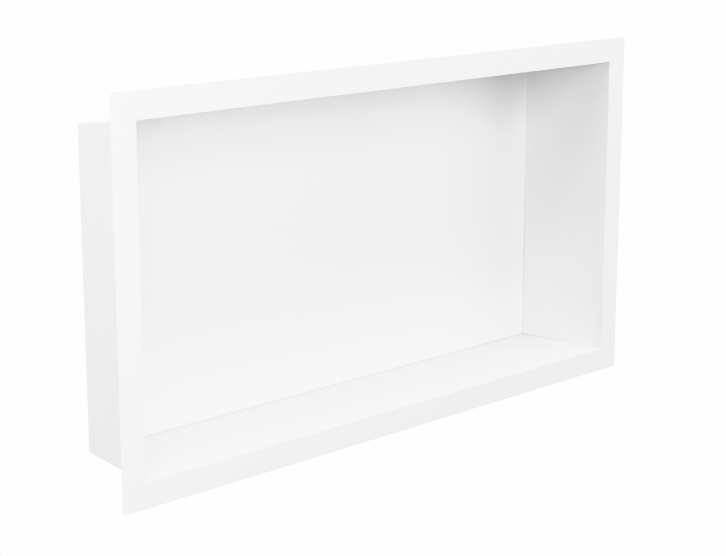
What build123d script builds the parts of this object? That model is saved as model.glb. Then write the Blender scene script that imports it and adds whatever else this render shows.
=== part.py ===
from build123d import *
import os

os.makedirs("parts", exist_ok=True)

# Sheet that the whole insert is folded from, in millimetres, and the inside of its bends and dressed welds
sheet = 1.2
fold_radius = 0.4

# Edge that shows all round the mouth, bent over a groove in the rear of the sheet so that it stays crisp
rim_radius = 0.5

# Clear opening, taken between the wall faces at the front of the flange
opening_width = 600.0
opening_height = 300.0

# Flange that covers the edge of the cut-out in the wall
flange_width = 24.0
flange_corner_radius = 3.0
edge_break = 0.3

# Recess: front of the flange to the back panel, and how far the sides and top lean in over that depth
recess_depth = 96.8
wall_lean = 14.0

# Sizes that follow from the ones above
flange_length = opening_width + 2 * flange_width
flange_height = opening_height + 2 * flange_width
outer_fold_radius = fold_radius + sheet

# The rear of the flange lies on the wall at Y 0, and the room is on the -Y side
front = -sheet
back = front + recess_depth
half_width = opening_width / 2
half_height = opening_height / 2

with BuildPart() as recess:
    # Side section of the clear space: level floor, top wall leaning down towards the back
    with BuildSketch(Plane.YZ):
        with BuildLine():
            Polyline(
                (front, -half_height),
                (back, -half_height),
                (back, half_height - wall_lean),
                (front, half_height),
                close=True,
            )
        make_face()
    extrude(amount=half_width, both=True)

    # Plan of the same space: side walls leaning in towards the back
    with BuildSketch(Plane.XY):
        with BuildLine():
            Polyline(
                (-half_width, front),
                (half_width, front),
                (half_width - wall_lean, back),
                (wall_lean - half_width, back),
                close=True,
            )
        make_face()
    extrude(amount=half_height, both=True, mode=Mode.INTERSECT)

with BuildPart() as niche_body:
    # Outside of the box: one thickness of sheet round the recess, trimmed level with the front of the flange
    add(recess.part)
    offset(amount=sheet, kind=Kind.INTERSECTION)
    split(bisect_by=Plane.XZ.offset(sheet), keep=Keep.BOTTOM)
    mouth = niche_body.faces().sort_by(Axis.Y)[0]
    fillet(niche_body.edges() - mouth.edges(), radius=outer_fold_radius)

    # Flange, turned outwards all round, with the inside of its bend against the walls
    with BuildSketch(Plane.XZ):
        RectangleRounded(flange_length, flange_height, flange_corner_radius)
    extrude(amount=sheet)
    flange_rear = niche_body.faces().filter_by(Plane.XZ).sort_by(Axis.Y)[1]
    fillet(flange_rear.inner_wires().edges(), radius=fold_radius)

    # Clear space taken out, with its welded corners and the folds round the back panel
    add(recess.part, mode=Mode.SUBTRACT)
    flange_front = niche_body.faces().sort_by(Axis.Y)[0]
    fillet(niche_body.edges(Select.LAST) - flange_front.edges(), radius=fold_radius)

    # Crisp edge of the flange's bend, round the mouth of the recess
    flange_front = niche_body.faces().sort_by(Axis.Y)[0]
    fillet(flange_front.inner_wires().edges(), radius=rim_radius)

    # Cut edge of the flange, broken on the side that shows
    flange_front = niche_body.faces().sort_by(Axis.Y)[0]
    fillet(flange_front.outer_wire().edges(), radius=edge_break)

niche_body.part.label = "niche_body"
export_step(niche_body.part, "parts/niche_body.step")
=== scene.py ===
import math
import bpy
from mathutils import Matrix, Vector


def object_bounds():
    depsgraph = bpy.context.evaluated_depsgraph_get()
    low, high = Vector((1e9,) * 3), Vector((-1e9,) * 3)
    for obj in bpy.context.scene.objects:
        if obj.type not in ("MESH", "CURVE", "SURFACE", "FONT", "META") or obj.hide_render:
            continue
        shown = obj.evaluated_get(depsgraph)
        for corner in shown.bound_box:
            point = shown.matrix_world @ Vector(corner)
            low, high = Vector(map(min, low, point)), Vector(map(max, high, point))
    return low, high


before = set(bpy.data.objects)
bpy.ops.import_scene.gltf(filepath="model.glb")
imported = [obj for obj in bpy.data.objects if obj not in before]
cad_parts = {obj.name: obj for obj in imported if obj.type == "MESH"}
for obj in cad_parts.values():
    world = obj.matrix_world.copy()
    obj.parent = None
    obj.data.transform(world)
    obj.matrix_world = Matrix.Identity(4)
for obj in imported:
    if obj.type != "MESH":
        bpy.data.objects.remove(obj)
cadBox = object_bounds()
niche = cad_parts["niche_body"]
print("frame loaded:", sorted(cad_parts))

# white powder coat, satin
coat = {
    "white": (0.80, 0.80, 0.798, 1.0),
    "roughness": (0.46, 0.54),
    "wave": {"scale": 7.0, "detail": 1.0, "height": 0.0002},      # slow waviness of the flat sheet
    "peel": {"scale": 420.0, "detail": 2.0, "height": 0.00002},   # orange peel, about 2.5 mm crest to crest
    "creaseShadeGrey": (0.20, 0.20, 0.20, 1.0),   # painted shade deep in the folds
    "cornerReach": 0.0013,
    "cornerSamples": 16,
    "cornerOpen": 0.4,               # the painted shade is full where a corner is this open or less
    "cornerWay": (0.0, 1.0, -0.2),   # the painted shade grows towards the back, and a little downwards
    "cornerFade": (0.06, 0.1256),    # between these places along that way
    "cornerFaint": 0.9,              # share of white left in it before them
}


def addRelief(nodes, links, coords, spec):
    noise = nodes.new("ShaderNodeTexNoise")
    noise.inputs["Scale"].default_value = spec["scale"]
    noise.inputs["Detail"].default_value = spec["detail"]
    bump = nodes.new("ShaderNodeBump")
    bump.inputs["Strength"].default_value = 1.0
    bump.inputs["Distance"].default_value = spec["height"]
    links.new(coords.outputs["Object"], noise.inputs["Vector"])
    links.new(noise.outputs["Fac"], bump.inputs["Height"])
    return noise, bump


def makeCoat(name, spec):
    mat = bpy.data.materials.new(name)
    mat.use_nodes = True
    nodes, links = mat.node_tree.nodes, mat.node_tree.links
    shader = nodes["Principled BSDF"]
    coords = nodes.new("ShaderNodeTexCoord")

    # orange peel over a slow wave
    wave, waveBump = addRelief(nodes, links, coords, spec["wave"])
    peelBump = addRelief(nodes, links, coords, spec["peel"])[1]
    links.new(waveBump.outputs["Normal"], peelBump.inputs["Normal"])
    links.new(peelBump.outputs["Normal"], shader.inputs["Normal"])

    # gloss drifts a little over the sheet
    gloss = nodes.new("ShaderNodeMapRange")
    gloss.inputs["To Min"].default_value, gloss.inputs["To Max"].default_value = spec["roughness"]
    links.new(wave.outputs["Fac"], gloss.inputs["Value"])
    links.new(gloss.outputs["Result"], shader.inputs["Roughness"])

    # painted shade: a thin grey line darkens the creases where two sheets meet, found by ambient occlusion,
    # faint at the mouth and full low at the back
    place = nodes.new("ShaderNodeVectorMath")
    place.operation = "DOT_PRODUCT"
    place.inputs[1].default_value = spec["cornerWay"]
    fade = nodes.new("ShaderNodeMapRange")
    fade.inputs["From Min"].default_value, fade.inputs["From Max"].default_value = spec["cornerFade"]
    fade.inputs["To Min"].default_value = spec["cornerFaint"]
    fade.inputs["To Max"].default_value = 0.0
    corner = nodes.new("ShaderNodeAmbientOcclusion")
    corner.samples = spec["cornerSamples"]
    corner.inputs["Distance"].default_value = spec["cornerReach"]
    line = nodes.new("ShaderNodeMapRange")
    line.inputs["From Min"].default_value = spec["cornerOpen"]
    paintedCreaseShade = nodes.new("ShaderNodeMix")
    paintedCreaseShade.data_type = "RGBA"
    paintedCreaseShade.inputs["A"].default_value = spec["creaseShadeGrey"]
    paintedCreaseShade.inputs["B"].default_value = spec["white"]
    links.new(coords.outputs["Object"], place.inputs[0])
    links.new(place.outputs["Value"], fade.inputs["Value"])
    links.new(fade.outputs["Result"], line.inputs["To Min"])
    links.new(corner.outputs["AO"], line.inputs["Value"])
    links.new(line.outputs["Result"], paintedCreaseShade.inputs["Factor"])
    links.new(paintedCreaseShade.outputs["Result"], shader.inputs["Base Color"])
    return mat


whiteCoat = makeCoat("whitePowderCoat", coat)
for slot in niche.material_slots:
    slot.material = whiteCoat
print("coat on", niche.name)


# one strength as the camera sees it, another for what it throws on the niche
def setGlow(tree, strength, spec):
    ray = tree.nodes.new("ShaderNodeLightPath")
    level = tree.nodes.new("ShaderNodeMapRange")
    level.inputs["To Min"].default_value = spec["cast"]
    level.inputs["To Max"].default_value = spec["seen"]
    tree.links.new(ray.outputs["Is Camera Ray"], level.inputs["Value"])
    tree.links.new(level.outputs["Result"], strength)


# white floor just under the flange, burnt out to plain white as the photo's ground is
sweep = {"size": 40.0, "gap": 0.001, "seen": 6.0, "cast": 0.1}
bpy.ops.object.select_all(action="DESELECT")
bpy.ops.mesh.primitive_plane_add(size=sweep["size"], location=(0, 0, cadBox[0][2] - sweep["gap"]))
floor = bpy.context.object
floor.name = "whiteSweep"
floorMat = bpy.data.materials.new("sweepWhite")
floorMat.use_nodes = True
floorTree = floorMat.node_tree
floorTree.nodes.remove(floorTree.nodes["Principled BSDF"])
floorGlow = floorTree.nodes.new("ShaderNodeEmission")
floorTree.links.new(floorGlow.outputs["Emission"], floorTree.nodes["Material Output"].inputs["Surface"])
setGlow(floorTree, floorGlow.inputs["Strength"], sweep)
floor.data.materials.append(floorMat)

# even sky, faint on the niche and plain white behind it
sky = {"seen": 6.0, "cast": 0.25}
world = bpy.data.worlds.new("studio")
bpy.context.scene.world = world
world.use_nodes = True
skyGlow = world.node_tree.nodes["Background"]
skyGlow.inputs["Color"].default_value = (1, 1, 1, 1)
setGlow(world.node_tree, skyGlow.inputs["Strength"], sky)
print("floor and sky set")

# soft studio light: boxes round the niche, and a card that lies in front of it and faces up
# placed by bearing (0 straight in front, growing to the right), height and reach from the aim point,
# in degrees and metres
aim = Vector((0, 0.03, 0))   # a little behind the wall face
softboxes = {
    "keyFront": {"bearing": -15, "height": 30, "reach": 9.0, "size": (4.80, 3.17), "power": 300.0},
    "fillFront": {"bearing": -15, "height": 10, "reach": 9.0, "size": (4.80, 3.17), "power": 311.0},
    "lowRight": {"bearing": 45, "height": 3, "reach": 9.0, "size": (4.80, 0.94), "power": 286.0},
    "overhead": {"bearing": 0, "height": 80, "reach": 8.0, "size": (8.00, 4.00), "power": 802.0},
    "sideLeft": {"bearing": -65, "height": 10, "reach": 0.8, "size": (0.40, 0.40), "power": 1.54},
    "tableCard": {"bearing": -43.9, "height": -8.93, "reach": 1.095, "size": (0.90, 0.90), "power": 4.6,
                  "lies": True},
    "rimLeft": {"bearing": -125, "height": 30, "reach": 9.0, "size": (7.80, 7.80), "power": 895.0},
    "rimRight": {"bearing": 135, "height": 25, "reach": 9.0, "size": (7.80, 7.80), "power": 700.0},
}
for name, box in softboxes.items():
    bearing, height = math.radians(box["bearing"]), math.radians(box["height"])
    level = math.cos(height)
    way = Vector((math.sin(bearing) * level, -math.cos(bearing) * level, math.sin(height)))
    bpy.ops.object.light_add(type="AREA", location=way * box["reach"] + aim)
    lamp = bpy.context.object
    lamp.name = name
    if box.get("lies"):
        lamp.rotation_euler = (math.pi, 0, 0)
    else:
        lamp.rotation_euler = (-way).to_track_quat("-Z", "Y").to_euler()
    lamp.data.shape = "RECTANGLE"
    lamp.data.size, lamp.data.size_y = box["size"]
    lamp.data.energy = box["power"]
    lamp.visible_camera = False
print("light set:", len(softboxes), "softboxes")

# camera without roll, a little above the niche and to the left
view = {"place": (-1.1704, -1.1445, 0.3526), "yaw": 44.427, "pitch": -13.025, "lens": 90.40, "sensor": 36.0}
bpy.ops.object.camera_add(location=view["place"])
camera = bpy.context.object
camera.name = "photoCamera"
camera.rotation_euler = (math.radians(90 + view["pitch"]), 0, math.radians(-view["yaw"]))
camera.data.lens = view["lens"]
camera.data.sensor_width = view["sensor"]
bpy.context.scene.camera = camera
bpy.context.scene.view_settings.view_transform = "Khronos PBR Neutral"
print("camera set")
